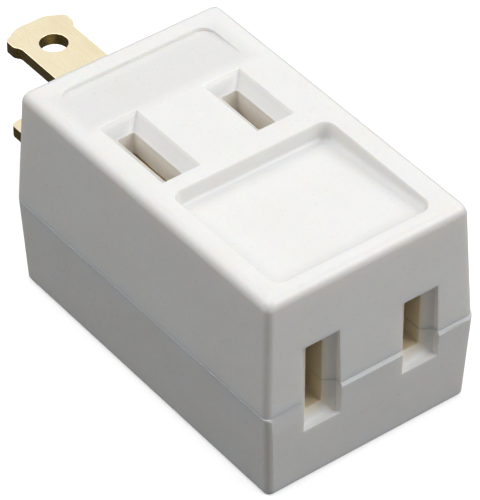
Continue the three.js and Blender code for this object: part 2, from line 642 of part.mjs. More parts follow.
const tap = new THREE.Group();
tap.position.y = -BLADE_REACH / 2;
tap.add(node('upper_shell', makeCover(), coverLook), node('lower_shell', makeBase(), baseLook));
for (const [name, pole] of Object.entries(poles)) {
  tap.add(
    node(`${name}_blade`, makeBlade(pole), bladeLook),
    node(`${name}_bus`, makeBus(pole), contactLook),
    node(`${name}_top_leaf`, makeFaceLeaf(pole, 'top'), contactLook),
    node(`${name}_base_leaf`, makeFaceLeaf(pole, 'base'), contactLook),
    node(`${name}_end_leaf`, makeEndLeaf(pole), contactLook),
    node(`${name}_blade_rivet`, makeBladeRivet(pole), rivetLook),
    node(`${name}_top_rivet`, makeLeafRivet(pole, 'top'), rivetLook),
    node(`${name}_base_rivet`, makeLeafRivet(pole, 'base'), rivetLook),
    node(`${name}_end_rivet`, makeLeafRivet(pole, 'end'), rivetLook),
  );
}

export default tap;
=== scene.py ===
"""Cube tap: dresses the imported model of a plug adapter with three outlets, and lights it for a picture."""
import math

import bmesh
import bpy
from bpy.props import FloatProperty, FloatVectorProperty, PointerProperty
from mathutils import Euler, Matrix, Vector


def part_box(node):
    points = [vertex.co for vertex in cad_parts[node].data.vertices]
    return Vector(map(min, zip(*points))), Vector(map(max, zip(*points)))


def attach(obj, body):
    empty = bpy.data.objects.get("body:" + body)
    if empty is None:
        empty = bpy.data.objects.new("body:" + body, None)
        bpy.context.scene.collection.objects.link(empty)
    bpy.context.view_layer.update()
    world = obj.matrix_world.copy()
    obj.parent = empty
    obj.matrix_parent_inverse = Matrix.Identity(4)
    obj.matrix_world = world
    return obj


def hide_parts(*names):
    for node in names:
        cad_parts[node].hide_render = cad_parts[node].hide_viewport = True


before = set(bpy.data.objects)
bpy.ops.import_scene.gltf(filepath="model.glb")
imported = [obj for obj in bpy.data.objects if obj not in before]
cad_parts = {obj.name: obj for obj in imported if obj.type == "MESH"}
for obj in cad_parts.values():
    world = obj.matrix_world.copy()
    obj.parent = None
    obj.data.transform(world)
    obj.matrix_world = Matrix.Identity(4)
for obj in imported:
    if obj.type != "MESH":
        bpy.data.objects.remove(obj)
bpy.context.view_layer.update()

bl_info = {
    "name": "Cube tap",
    "version": (1, 0, 0),
    "blender": (4, 5, 0),
    "location": "View3D > Sidebar > Cube tap",
    "description": "Models the housing and plug blades of a cube tap and sets its studio",
    "category": "Object",
}

MM = 0.001
COVER_LOW, COVER_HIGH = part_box("upper_shell")
BASE_LOW, BASE_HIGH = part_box("lower_shell")
MIDDLE_Y = (BASE_LOW.y + BASE_HIGH.y) / 2
POLES = ("neutral", "hot")
BLADE_BOXES = {pole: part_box(f"{pole}_blade") for pole in POLES}

# Places on the housing in millimetres, counted from the middle of its underside
HALF_WIDTH = 13.5
OUTLET_END = -21.75
PLUG_END = 22
TOP = 25.75
BASE_TOP = 11.1
COVER_FOOT = 11.2
POLE_SIDE = 6.35
FACE_SLOT_SHIFT = 1.1
FACE_SLOT_MIDDLE = 5.78
END_SLOT_HEIGHT = 12.6

# Pins, ribs and seam joint in millimetres; the pair of a rib, stop, clamp or notch is its two ends along Y
PIN_SIDES = (-10.4, 10.4)
PIN_ROWS = (-18.45, 18.7)
PIN_TIP, PIN_HOLE_FOOT, PIN_ROOT = 7.2, 6.9, 12.4
ROOF_OVER_POCKET, ROOF_OVER_SLOTS, ROOF_STEP = 21.65, 23.75, 0.5
BASE_RIB_FOOT, COVER_RIB_ROOT, COVER_BOSS_ROOT = 1.9, 23.85, 21.7
BASE_FORK, COVER_FORK = 8.5, 17.25
RIB_REACH = 11.6
CROSS_RIB = (-0.82, 0.38)
REAR_STOP, REAR_STOP_SIDE = (13.38, 14.58), 6.8
BARRIER, BARRIER_HALF = (-19.65, 13.25), 0.7
CLAMP, CLAMP_SIDE, CLAMP_HALF = (13.9, 19.9), 2.4, 0.6
NOTCH, NOTCH_HALF = (-1.5, 1.0), 0.45
TONGUE_FOOT, TONGUE_HEAD, GROOVE_HEAD = 10.4, 11.9, 12
TONGUE_OUTSIDE, TONGUE_INSIDE, TONGUE_CLEARANCE = 0.75, 1.35, 0.1
TONGUE_GAP = 2.8
BLADE_CLEARANCE = 0.1

# Slots with their surroundings, and recesses, in millimetres
SLOT_ZONE_SIDE, FACE_SLOT_ZONE = 11.5, (-0.6, 12)
POCKET_LOW, POCKET_HIGH = (-10.6, -19.5), (10.0, -1.5)
POCKET_NARROWING = 1.1
LABEL_LOW, LABEL_HIGH = (-10.1, 10.3), (9.4, 18.6)
LABEL_RUN_OUT = 6.7

# Sizes in metres and slopes in radians
OVERCUT = 1 * MM
FAR = 100 * MM
TONGUE_CORNER = 0.5 * MM
SLOT_CORNER = 0.25 * MM
LEDGE_SLOPE = math.radians(30)
RAMP_SLOPE = math.radians(3.2)
RAMP_WIDTH, RAMP_HEIGHT = 6.4 * MM, 2.5 * MM
BOSS_RADIUS = 1.6 * MM
PIN_RADIUS, PIN_CLEARANCE = 0.75 * MM, 0.1 * MM
POCKET_CORNER, POCKET_FOOT = 1.35 * MM, 0.8 * MM
LABEL_CORNER = 1.6 * MM
OUTER_SKIN = 1.3 * MM
RIVET_HOLE = 1.1 * MM

# Half widths of the blades in millimetres
NEUTRAL_SHOULDER, NEUTRAL_SHANK, NEUTRAL_HEAD, NEUTRAL_TIP = 4.57, 3.45, 3.97, 1.77
HOT_SHOULDER, HOT_SHANK, HOT_TIP = 3.775, 3.175, 2.375

# Share of its light that the plastic loses
FUNNEL_SHADE = 0.14
RECESS_WALL_SHADE = 0.12
LABEL_SHADE = 0.09

# Camera that was fitted to the photograph
PICTURE_WIDTH = 480
FOCAL_PIXELS = 3879
SENSOR = 36.0
CAMERA_AZIMUTH, CAMERA_ELEVATION = math.radians(-37.24), math.radians(40.96)
CAMERA_TARGET, CAMERA_DISTANCE = (-0.2, 0, 11.86), 405.4 * MM

# Softboxes, in metres
LIGHT_DISTANCE = 0.7
TOP_LIGHT_SIZE, SIDE_LIGHT_SIZE = 0.5, 0.4


def length(name, description, millimetres):
    """A size that a user would change, kept in metres and shown as a length."""
    return FloatProperty(name=name, description=description, default=millimetres * MM, unit="LENGTH",
                         precision=5)


def colour(name, description, values):
    """A finish colour, linear."""
    return FloatVectorProperty(name=name, description=description, default=values, size=4, subtype="COLOR",
                               min=0.0, max=1.0)


def share(name, description, value):
    """A factor between 0 and 1."""
    return FloatProperty(name=name, description=description, default=value, min=0.0, max=1.0,
                         subtype="FACTOR")


def power(name, description, watts):
    """The power of a light."""
    return FloatProperty(name=name, description=description, default=watts, min=0.0, unit="POWER")


class TapHousingSettings(bpy.types.PropertyGroup):
    """Sizes and finish of the moulded cover and base."""
    wall: length("Side wall", "Thickness of the side walls", 2.0)
    end_wall: length("End wall", "Thickness of the plug wall and of the outlet end", 2.2)
    floor: length("Floor and roof", "Thickness of the floor and of the roof", 2.0)
    draft: FloatProperty(name="Draft", description="Lean of the walls away from the seam",
                         default=math.radians(2.6), subtype="ANGLE")
    top_edge: length("Top edge", "Radius of the rounded edge around the top", 1.25)
    base_edge: length("Base edge", "Radius of the rounded edge around the underside", 0.5)
    corner: length("Corner", "Radius of the upright corners", 0.9)
    edge_break: length("Edge break", "Radius of the small edges around slots, recesses and the seam", 0.08)
    ledge: length("Base ledge", "Slope on the base's proud edge below the seam at the outlet end", 0.6)
    slot_width: length("Slot width", "Width of a slot below its funnel", 2.15)
    neutral_slot: length("Neutral slot", "Length of the longer slots", 8.4)
    hot_slot: length("Hot slot", "Length of the shorter slots", 6.7)
    lead_in: length("Lead-in", "Spread of the funnel mouth past the slot on each side", 1.3)
    face_land: length("Land", "Upright rim around the funnel mouths on the top and the underside", 0.15)
    end_land: length("Land, outlet end", "Upright rim around the funnel mouths on the outlet end", 0.72)
    funnel: length("Funnel depth", "Depth of the end of the funnel below the face", 1.45)
    tunnel: length("Tunnel depth", "Depth of a slot from its face", 4.2)
    tunnel_wall: length("Tunnel wall", "Wall around a slot inside the housing", 1.1)
    pocket_deep: length("Pocket, deep end", "Depth of the large recess beside the slots", 2.1)
    pocket_shallow: length("Pocket, shallow end", "Depth of the large recess at the outlet end", 1.0)
    label_depth: length("Label recess", "Greatest depth of the small recess", 0.45)
    plastic: colour("Plastic", "Colour of the moulded plastic", (0.89, 0.886, 0.876, 1.0))
    plastic_warm: colour("Plastic, warm", "Slightly yellower patches of the moulding",
                         (0.88, 0.869, 0.842, 1.0))
    # Painted warm bounce light: the walls inside the slots are made lighter and warmer than the plastic.
    plastic_slot_bounce_light: colour("Plastic, slots", "Warm white of the walls inside the slots",
                           (1.0, 0.93, 0.85, 1.0))
    # Painted shade: the walls inside the end slots are darkened and warmed.
    plastic_end_slot_shade: colour("Plastic, end slots", "Warm tone of the walls inside the end slots",
                        (0.74, 0.64, 0.46, 1.0))
    gloss: share("Roughness", "Roughness of the moulded skin", 0.3)


class TapBladeSettings(bpy.types.PropertyGroup):
    """Sizes and finish of the plug blades and of the contacts."""
    hole: length("Hole radius", "Radius of the hole near the tip", 1.6)
    hole_from_tip: length("Hole from tip", "Distance of the hole from the tip", 4.6)
    edge_break: length("Rolled edge", "Radius of the stamped edges", 0.07)
    # Painted shade: dark brass on the blades' sheared edges and hole walls stands for their dark reflection
    # and the shade in the holes.
    blade_edge_painted_shade: colour("Stamped edges", "Dark brass of the sheared edges and hole walls",
                         (0.42, 0.3, 0.1, 1.0))
    brass: colour("Blade brass", "Pale brass of the blades", (0.83, 0.725, 0.5, 1.0))
    brass_worn: colour("Blade brass, rubbed", "Brass where it was rubbed bright", (0.86, 0.765, 0.55, 1.0))
    contact: colour("Contact brass", "Deeper brass of the contacts", (0.78, 0.6, 0.32, 1.0))
    roughness: share("Roughness", "Roughness of the brass", 0.27)


class TapStageSettings(bpy.types.PropertyGroup):
    """Studio around the tap."""
    floor_size: length("Floor size", "Side of the floor", 6000.0)
    floor_white: colour("Floor", "Colour of the floor as the camera sees it", (1.0, 1.0, 1.0, 1.0))
    floor_grey: colour("Floor, bounced", "Colour of the floor in the light that it throws back",
                       (0.1, 0.1, 0.1, 1.0))
    floor_glow: share("Floor glow", "White that the camera sees on the floor besides its light", 0.35)
    key_power: power("Top light", "Power of the softbox overhead", 1.25)
    left_high_power: power("Left light, high", "Power of the upper light on the left", 1.1)
    left_low_power: power("Left light, low", "Power of the lower light on the left", 0.76)
    right_power: power("Right light", "Power of the light on the right", 2.26)
    ambient: share("Ambient", "Strength of the even light all round", 0.272)


def deselect():
    """Nothing stays selected, so an operator acts on what is picked after this."""
    bpy.ops.object.select_all(action="DESELECT")


def activate(piece):
    """Selects one piece alone and makes it the active one."""
    deselect()
    piece.select_set(True)
    bpy.context.view_layer.objects.active = piece


def place(x, y, z):
    """A point in metres from millimetres that are counted from the middle of the housing's underside."""
    return Vector((x * MM, y * MM + MIDDLE_Y, z * MM))


def block(name, low, high):
    """A box between two corners, its place in its mesh."""
    deselect()
    low, high = Vector(low), Vector(high)
    bpy.ops.mesh.primitive_cube_add(size=1, location=(low + high) / 2, scale=high - low)
    piece = bpy.context.object
    piece.name = name
    bpy.ops.object.transform_apply(location=True, rotation=True, scale=True)
    return piece


def post(name, x, y, low, high, radius, sides=32):
    """An upright round bar."""
    deselect()
    bpy.ops.mesh.primitive_cylinder_add(vertices=sides, radius=radius, depth=high - low,
                                        location=(x, y, (low + high) / 2))
    piece = bpy.context.object
    piece.name = name
    bpy.ops.object.transform_apply(location=True, rotation=True, scale=True)
    return piece


def pick(piece, kind, test):
    """Selects, in edit mode, the vertices, edges or faces of a piece that pass a test."""
    bpy.ops.mesh.select_mode(type=kind)
    bpy.ops.mesh.select_all(action="DESELECT")
    mesh = bmesh.from_edit_mesh(piece.data)
    parts = {"VERT": mesh.verts, "EDGE": mesh.edges, "FACE": mesh.faces}[kind]
    chosen = [part for part in parts if test(part)]
    if not chosen:
        raise RuntimeError(f"nothing to pick on {piece.name}")
    for part in chosen:
        part.select_set(True)
    mesh.select_flush_mode()
    bmesh.update_edit_mesh(piece.data)


def middle(part):
    """Middle of an edge or a face."""
    return sum((vertex.co for vertex in part.verts), Vector()) / len(part.verts)


def end_face(axis, sign):
    """Test for the face at one end of a box."""
    return lambda face: face.normal[axis] * sign > 0.9


def resize_face(piece, axis, sign, factors):
    """Scales the end face of a box about its own middle, so that its walls lean."""
    activate(piece)
    bpy.ops.object.mode_set(mode="EDIT")
    pick(piece, "FACE", end_face(axis, sign))
    mesh = bmesh.from_edit_mesh(piece.data)
    centre = middle(next(face for face in mesh.faces if face.select))
    bpy.ops.transform.resize(value=factors, center_override=centre)
    bpy.ops.object.mode_set(mode="OBJECT")


def round_edges(piece, groups, segments=8):
    """Rounds edges by groups of a test and a radius, bevelled together so that they blend."""
    widest = max(radius for _, radius in groups)
    mesh = bmesh.new()
    mesh.from_mesh(piece.data)
    weight = mesh.edges.layers.float.new("bevel_weight_edge")
    for edge in mesh.edges:
        for test, radius in groups:
            if test(edge):
                edge[weight] = radius / widest
    mesh.to_mesh(piece.data)
    mesh.free()
    bevel = piece.modifiers.new("Rounded edges", "BEVEL")
    bevel.limit_method = "WEIGHT"
    bevel.width = widest
    bevel.segments = segments
    bevel.use_clamp_overlap = False
    apply_modifier(piece, bevel)
    marks = piece.data.attributes.get("bevel_weight_edge")
    if marks:
        piece.data.attributes.remove(marks)


def apply_modifier(piece, modifier):
    """Writes a modifier's result into the mesh."""
    activate(piece)
    bpy.ops.object.modifier_apply(modifier=modifier.name)


def combine(piece, tool, operation):
    """Cuts a piece with a tool or joins the tool to it, and uses the tool up."""
    boolean = piece.modifiers.new("Combine", "BOOLEAN")
    boolean.operation = operation
    boolean.solver = "MANIFOLD"
    boolean.object = tool
    apply_modifier(piece, boolean)
    bpy.data.objects.remove(tool)
    if not piece.data.polygons:
        raise RuntimeError(f"nothing is left of {piece.name}")


def upright(edge):
    """Test for an upright edge, or one that leans a little."""
    first, second = edge.verts
    run = (second.co - first.co).normalized()
    return abs(run.z) > 0.9


def edges_at_height(height):
    """Test for level edges at a height."""
    return lambda edge: all(abs(vertex.co.z - height) < 0.02 * MM for vertex in edge.verts)


def turn(piece, rotation, offset):
    """Turns a piece and moves it, and leaves the turn in its mesh."""
    piece.data.transform(Matrix.Translation(offset) @ Euler(rotation).to_matrix().to_4x4())
    return piece


def slot_tool(settings, slot_length, land, edge):
    """Cutting tool for a slot: bevelled mouth, sloped funnel and throat, opening upwards at height 0."""
    half_x = settings.slot_width / 2 + settings.lead_in
    half_y = slot_length / 2 + settings.lead_in
    tool = block("slot_tool", (-half_x, -half_y, -land), (half_x, half_y, -edge))
    activate(tool)
    bpy.ops.object.mode_set(mode="EDIT")
    pick(tool, "FACE", end_face(2, 1))
    bpy.ops.mesh.extrude_region_move(TRANSFORM_OT_translate={"value": (0, 0, edge + OVERCUT)})
    spread = edge + OVERCUT if edge else 0
    bpy.ops.transform.resize(value=(1 + spread / half_x, 1 + spread / half_y, 1),
                             center_override=(0, 0, OVERCUT))
    pick(tool, "FACE", end_face(2, -1))
    bpy.ops.mesh.extrude_region_move(TRANSFORM_OT_translate={"value": (0, 0, land - settings.funnel)})
    bpy.ops.transform.resize(value=(settings.slot_width / 2 / half_x, slot_length / 2 / half_y, 1),
                             center_override=(0, 0, -settings.funnel))
    depth = settings.tunnel + OVERCUT - settings.funnel
    bpy.ops.mesh.extrude_region_move(TRANSFORM_OT_translate={"value": (0, 0, -depth)})
    bpy.ops.object.mode_set(mode="OBJECT")

    def in_throat(edge):
        return upright(edge) and middle(edge).z < -settings.funnel

    round_edges(tool, [(in_throat, SLOT_CORNER)], segments=3)
    return tool


def tunnel_block(settings, slot_length):
    """Wall that carries a slot on past the face of the housing."""
    half_x = settings.slot_width / 2 + settings.tunnel_wall
    half_y = slot_length / 2 + settings.tunnel_wall
    return block("tunnel", (-half_x, -half_y, -settings.tunnel), (half_x, half_y, -settings.funnel))


def outlets(settings, cover):
    """Turn, place, slot length, land and mouth bevel of each slot that touches the cover or the base."""
    slots = {"neutral": settings.neutral_slot, "hot": settings.hot_slot}
    for pole, x in (("neutral", -POLE_SIDE), ("hot", POLE_SIDE)):
        yield (math.pi / 2, 0, 0), place(x, OUTLET_END, END_SLOT_HEIGHT), slots[pole], settings.end_land, 0
        if cover:
            rotation, offset = (0, 0, 0), place(x - FACE_SLOT_SHIFT, FACE_SLOT_MIDDLE, TOP)
        else:
            rotation, offset = (math.pi, 0, 0), place(x + FACE_SLOT_SHIFT, FACE_SLOT_MIDDLE, 0)
        yield rotation, offset, slots[pole], settings.face_land, settings.edge_break


def housing_block(name, settings, low, high, up, rounded_edge):
    """Outer form of a shell: walls that lean in away from the seam, with rounded corners and far edge."""
    piece = block(name, low, high)
    lean = math.tan(settings.draft) * (high.z - low.z)
    size = high - low
    resize_face(piece, 2, 1 if up else -1, (1 - 2 * lean / size.x, 1 - 2 * lean / size.y, 1))
    far = high.z if up else low.z
    groups = [(upright, settings.corner)]
    if rounded_edge:
        groups.append((edges_at_height(far), rounded_edge))
    round_edges(piece, groups, segments=10 if rounded_edge else 4)
    return piece


def ledge_cuts(settings):
    """Tools for the base's proud edge below the seam: a short slope, and a long one at the neutral side."""
    slope = block("ledge_slope", (-14 * MM, -OVERCUT, -settings.ledge), (14 * MM, 0, OVERCUT))
    yield turn(slope, (-LEDGE_SLOPE, 0, 0), place(0, OUTLET_END, BASE_TOP))
    ramp = block("ledge_ramp", (-RAMP_WIDTH, -OVERCUT, -RAMP_HEIGHT), (0, 0, OVERCUT))
    yield turn(ramp, (-RAMP_SLOPE, 0, 0), place(-POLE_SIDE, OUTLET_END, BASE_TOP))


def inner_ribs(cover):
    """Two corners of each rib of a shell: cross rib with its forks, barrier, rear stops and blade clamps."""
    if cover:
        root, fork, seam, clamp_end = COVER_RIB_ROOT, COVER_FORK, COVER_FOOT, 19.2
    else:
        root, fork, seam, clamp_end = BASE_RIB_FOOT, BASE_FORK, BASE_TOP, 4.0

    def rib(left, right, along, end):
        low, high = sorted((root, end))
        return place(left, along[0], low), place(right, along[1], high)

    yield rib(-RIB_REACH, RIB_REACH, CROSS_RIB, fork)
    yield rib(-BARRIER_HALF, BARRIER_HALF, BARRIER, seam)
    for side in (-1, 1):
        yield rib(*sorted((side * REAR_STOP_SIDE, side * RIB_REACH)), REAR_STOP, fork)
        yield rib(side * CLAMP_SIDE - CLAMP_HALF, side * CLAMP_SIDE + CLAMP_HALF, CLAMP, clamp_end)


def fork_notches(cover):
    """Notches of the cross rib that hold the edges of the bus plates."""
    low, high = (16.0, 21.35) if cover else (4.4, 9.5)
    for x in (-POLE_SIDE, POLE_SIDE):
        yield place(x - NOTCH_HALF, NOTCH[0], low), place(x + NOTCH_HALF, NOTCH[1], high)


def add_inside(piece, settings, cover):
    """Hollows a shell out, and adds its tunnels, ribs and bosses."""
    wall, end_wall = settings.wall, settings.end_wall
    low = Vector((COVER_LOW.x + wall, place(0, OUTLET_END, 0).y + end_wall, 0))
    high = Vector((COVER_HIGH.x - wall, COVER_HIGH.y - end_wall, 0))
    seam = COVER_FOOT * MM
    if cover:
        roofs = [(low.y, ROOF_OVER_POCKET * MM), (place(0, ROOF_STEP, 0).y, ROOF_OVER_SLOTS * MM)]
    else:
        roofs = [(low.y, settings.floor)]
    for near, level in roofs:
        z_low, z_high = sorted((seam - OVERCUT if cover else seam + OVERCUT, level))
        cavity = housing_block("cavity", settings, Vector((low.x, near, z_low)),
                               Vector((high.x, high.y, z_high)), cover, 0)
        combine(piece, cavity, "DIFFERENCE")
    if cover:
        half_space = block("half", (-FAR, -FAR, seam), (FAR, FAR, FAR))
    else:
        half_space = block("half", (-FAR, -FAR, -FAR), (FAR, FAR, BASE_TOP * MM))
    additions = [block("rib", first, second) for first, second in inner_ribs(cover)]
    for rotation, offset, slot_length, *_ in outlets(settings, cover):
        additions.append(turn(tunnel_block(settings, slot_length), rotation, offset))
    foot, head = (seam, COVER_BOSS_ROOT * MM) if cover else (BASE_RIB_FOOT * MM, BASE_TOP * MM)
    for centre in pin_places():
        additions.append(post("boss", centre.x, centre.y, foot, head, BOSS_RADIUS))
    for addition in additions:
        combine(addition, copy_of(half_space), "INTERSECT")
        combine(piece, addition, "UNION")
    bpy.data.objects.remove(half_space)
    for first, second in fork_notches(cover):
        combine(piece, block("notch", first, second), "DIFFERENCE")


def pin_places():
    """Centres of the four corner pins."""
    return [place(x, y, 0) for x in PIN_SIDES for y in PIN_ROWS]


def copy_of(piece):
    """A copy of a tool with a mesh of its own."""
    twin = piece.copy()
    twin.data = piece.data.copy()
    bpy.context.scene.collection.objects.link(twin)
    return twin


def seam_joint(piece, cover):
    """Tongue of the cover, or the groove of the base that takes it, and the corner pins or their holes."""
    spread = 0 if cover else TONGUE_CLEARANCE
    low = TONGUE_FOOT - spread
    high = TONGUE_HEAD if cover else GROOVE_HEAD
    outer, inner = TONGUE_OUTSIDE - spread, TONGUE_INSIDE + spread
    ring = block("ring", place(-HALF_WIDTH + outer, OUTLET_END + outer, low),
                 place(HALF_WIDTH - outer, PLUG_END - outer, high))
    core = block("core", place(-HALF_WIDTH + inner, OUTLET_END + inner, low - 1),
                 place(HALF_WIDTH - inner, PLUG_END - inner, high + 1))
    for tool in (ring, core):
        round_edges(tool, [(upright, TONGUE_CORNER)], segments=3)
    combine(ring, core, "DIFFERENCE")
    for x in (-POLE_SIDE, POLE_SIDE):
        gap = block("gap", place(x - TONGUE_GAP - spread, OUTLET_END - 0.25, low - 1),
                    place(x + TONGUE_GAP + spread, OUTLET_END + 2.75, high + 1))
        combine(ring, gap, "DIFFERENCE")
    combine(piece, ring, "UNION" if cover else "DIFFERENCE")
    for centre in pin_places():
        if cover:
            pin = post("pin", centre.x, centre.y, PIN_TIP * MM, PIN_ROOT * MM, PIN_RADIUS, 20)
            combine(piece, pin, "UNION")
        else:
            hole = post("pin_hole", centre.x, centre.y, PIN_HOLE_FOOT * MM, PIN_ROOT * MM,
                        PIN_RADIUS + PIN_CLEARANCE, 20)
            combine(piece, hole, "DIFFERENCE")


def blade_opening(pole, half_width):
    """Tool for the opening in the plug wall that a blade passes through."""
    low, high = BLADE_BOXES[pole]
    half = half_width + BLADE_CLEARANCE
    return block("opening", place(-half, PLUG_END - 4, low.z / MM - BLADE_CLEARANCE),
                 place(half, PLUG_END + 1, high.z / MM + BLADE_CLEARANCE))


def pocket_tool(settings):
    """Tool for the large recess: leaning walls, rounded foot, and a floor that rises to the outlet end."""
    deep, shallow = settings.pocket_deep / MM, settings.pocket_shallow / MM
    tool = block("pocket_tool", place(*POCKET_LOW, TOP - deep), place(*POCKET_HIGH, TOP + 1))
    wide, long = (far - near for near, far in zip(POCKET_LOW, POCKET_HIGH))
    resize_face(tool, 2, -1, (1 - POCKET_NARROWING / wide, 1 - POCKET_NARROWING / long, 1))
    activate(tool)
    bpy.ops.object.mode_set(mode="EDIT")
    middle_y = place(0, -10.5, 0).y
    pick(tool, "VERT", lambda vertex: vertex.co.z < TOP * MM - OVERCUT and vertex.co.y < middle_y)
    bpy.ops.transform.translate(value=(0, 0, (deep - shallow) * MM))
    bpy.ops.object.mode_set(mode="OBJECT")
    floor_level = (TOP - shallow + 0.05) * MM

    def at_foot(edge):
        return all(vertex.co.z < floor_level for vertex in edge.verts)

    round_edges(tool, [(upright, POCKET_CORNER), (at_foot, POCKET_FOOT)], segments=8)
    return tool


def label_tool(settings):
    """Tool for the shallow recess, which runs out to nothing towards the slots."""
    depth = settings.label_depth / MM
    tool = block("label_tool", place(*LABEL_LOW, TOP - depth), place(*LABEL_HIGH, TOP + 1))
    activate(tool)
    bpy.ops.object.mode_set(mode="EDIT")
    middle_y = place(0, 14, 0).y
    pick(tool, "VERT", lambda vertex: vertex.co.z < TOP * MM and vertex.co.y < middle_y)
    rise = depth * MM * (LABEL_HIGH[1] - LABEL_LOW[1]) / LABEL_RUN_OUT
    bpy.ops.transform.translate(value=(0, 0, rise))
    bpy.ops.object.mode_set(mode="OBJECT")
    round_edges(tool, [(upright, LABEL_CORNER)], segments=8)
    return tool


def cut_outlets(piece, settings, cover):
    """Cuts the slots of a shell with their funnels."""
    for rotation, offset, slot_length, land, edge in outlets(settings, cover):
        combine(piece, turn(slot_tool(settings, slot_length, land, edge), rotation, offset), "DIFFERENCE")


def break_edges(piece, radius, region, least_angle=math.radians(28)):
    """Rounds the small edges of a piece that turn by more than an angle and lie in a region."""
    mesh = bmesh.new()
    mesh.from_mesh(piece.data)
    weight = mesh.edges.layers.float.new("bevel_weight_edge")
    for edge in mesh.edges:
        if len(edge.link_faces) == 2 and edge.calc_face_angle(0) > least_angle and region(middle(edge)):
            edge[weight] = 1
    mesh.to_mesh(piece.data)
    mesh.free()
    bevel = piece.modifiers.new("Edge break", "BEVEL")
    bevel.limit_method = "WEIGHT"
    bevel.width = radius
    bevel.segments = 3
    bevel.use_clamp_overlap = True
    bevel.miter_outer = "MITER_ARC"
    apply_modifier(piece, bevel)


def is_outer(point, settings):
    """Whether a point lies in the outer skin of the housing, where edges are touched, but not at a slot."""
    x, y, z = (point - place(0, 0, 0)) / MM
    at_face_slot = FACE_SLOT_ZONE[0] < y < FACE_SLOT_ZONE[1]
    at_end_slot = y < -20 and 5 < z < 20
    if abs(x) < SLOT_ZONE_SIDE and (at_face_slot or at_end_slot):
        return False
    lean = math.tan(settings.draft) * abs(point.z - COVER_FOOT * MM)
    depth = min(
        COVER_HIGH.x - lean - abs(point.x),
        COVER_HIGH.y - lean - point.y,
        point.y - BASE_LOW.y - lean,
        TOP * MM - point.z,
        point.z,
    )
    return depth < OUTER_SKIN


def smooth(piece, angle=math.radians(32)):
    """Smooth shading up to an angle, with flat faces kept flat."""
    activate(piece)
    bpy.ops.object.shade_smooth_by_angle(angle=angle)
    weighted = piece.modifiers.new("Flat faces", "WEIGHTED_NORMAL")
    weighted.keep_sharp = True
    weighted.weight = 80
    apply_modifier(piece, weighted)


def dress(piece, material):
    """Gives a piece its only material."""
    piece.data.materials.clear()
    piece.data.materials.append(material)


def socket(group, name, direction, kind, default=None):
    """Adds an input or an output to a node group."""
    made = group.interface.new_socket(name=name, in_out=direction, socket_type=kind)
    if default is not None:
        made.default_value = default


def node_of(tree, kind, **inputs):
    """A node with its named inputs set or linked. A name with underscores stands for one with spaces."""
    made = tree.nodes.new(kind)
    for name, value in inputs.items():
        target = made.inputs[int(name[1:])] if name[0] == "_" else made.inputs[name.replace("_", " ")]
        if isinstance(value, bpy.types.NodeSocket):
            tree.links.new(value, target)
        else:
            target.default_value = value
    return made


def moulded_group():
    """Shared effect: soft patches and fine grain of a moulded or rolled skin, on object coordinates."""
    found = bpy.data.node_groups.get("moulded_skin")
    if found:
        return found
    group = bpy.data.node_groups.new("moulded_skin", "ShaderNodeTree")
    socket(group, "Patch scale", "INPUT", "NodeSocketFloat", 120.0)
    socket(group, "Grain scale", "INPUT", "NodeSocketFloat", 2500.0)
    socket(group, "Patches", "OUTPUT", "NodeSocketFloat")
    socket(group, "Grain", "OUTPUT", "NodeSocketFloat")
    start = group.nodes.new("NodeGroupInput")
    end = group.nodes.new("NodeGroupOutput")
    where = group.nodes.new("ShaderNodeTexCoord")
    patches = node_of(group, "ShaderNodeTexNoise", Vector=where.outputs["Object"],
                      Scale=start.outputs["Patch scale"], Detail=2.0, Roughness=0.45)
    grain = node_of(group, "ShaderNodeTexNoise", Vector=where.outputs["Object"],
                    Scale=start.outputs["Grain scale"], Detail=3.0, Roughness=0.6)
    group.links.new(patches.outputs["Fac"], end.inputs["Patches"])
    group.links.new(grain.outputs["Fac"], end.inputs["Grain"])
    return group


def soft_box_group():
    """Shared effect: a mask that is 1 inside a box of object coordinates and fades to 0 at its faces."""
    found = bpy.data.node_groups.get("soft_box")
    if found:
        return found
    group = bpy.data.node_groups.new("soft_box", "ShaderNodeTree")
    socket(group, "Low", "INPUT", "NodeSocketVector")
    socket(group, "High", "INPUT", "NodeSocketVector")
    socket(group, "Softness", "INPUT", "NodeSocketFloat", 1.0 * MM)
    socket(group, "Mask", "OUTPUT", "NodeSocketFloat")
    start = group.nodes.new("NodeGroupInput")
    end = group.nodes.new("NodeGroupOutput")
    where = group.nodes.new("ShaderNodeTexCoord").outputs["Object"]
    above = node_of(group, "ShaderNodeVectorMath", _0=where, _1=start.outputs["Low"])
    above.operation = "SUBTRACT"
    below = node_of(group, "ShaderNodeVectorMath", _0=start.outputs["High"], _1=where)
    below.operation = "SUBTRACT"
    nearest = node_of(group, "ShaderNodeVectorMath", _0=above.outputs["Vector"], _1=below.outputs["Vector"])
    nearest.operation = "MINIMUM"
    axes = node_of(group, "ShaderNodeSeparateXYZ", Vector=nearest.outputs["Vector"])
    level = node_of(group, "ShaderNodeMath", _0=axes.outputs["X"], _1=axes.outputs["Y"])
    level.operation = "MINIMUM"
    depth = node_of(group, "ShaderNodeMath", _0=level.outputs["Value"], _1=axes.outputs["Z"])
    depth.operation = "MINIMUM"
    mask = node_of(group, "ShaderNodeMapRange", Value=depth.outputs["Value"],
                   From_Max=start.outputs["Softness"])
    group.links.new(mask.outputs["Result"], end.inputs["Mask"])
    return group


def soft_box(tree, low, high, softness):
    """Mask output of a soft box, in millimetres from the middle of the housing's underside."""
    made = tree.nodes.new("ShaderNodeGroup")
    made.node_tree = soft_box_group()
    made.inputs["Low"].default_value = place(*low)
    made.inputs["High"].default_value = place(*high)
    made.inputs["Softness"].default_value = softness * MM
    return made.outputs["Mask"]


def math_of(tree, operation, first, second, third=0.0):
    """Output of a Math node."""
    made = node_of(tree, "ShaderNodeMath", _0=first, _1=second, _2=third)
    made.operation = operation
    return made.outputs["Value"]


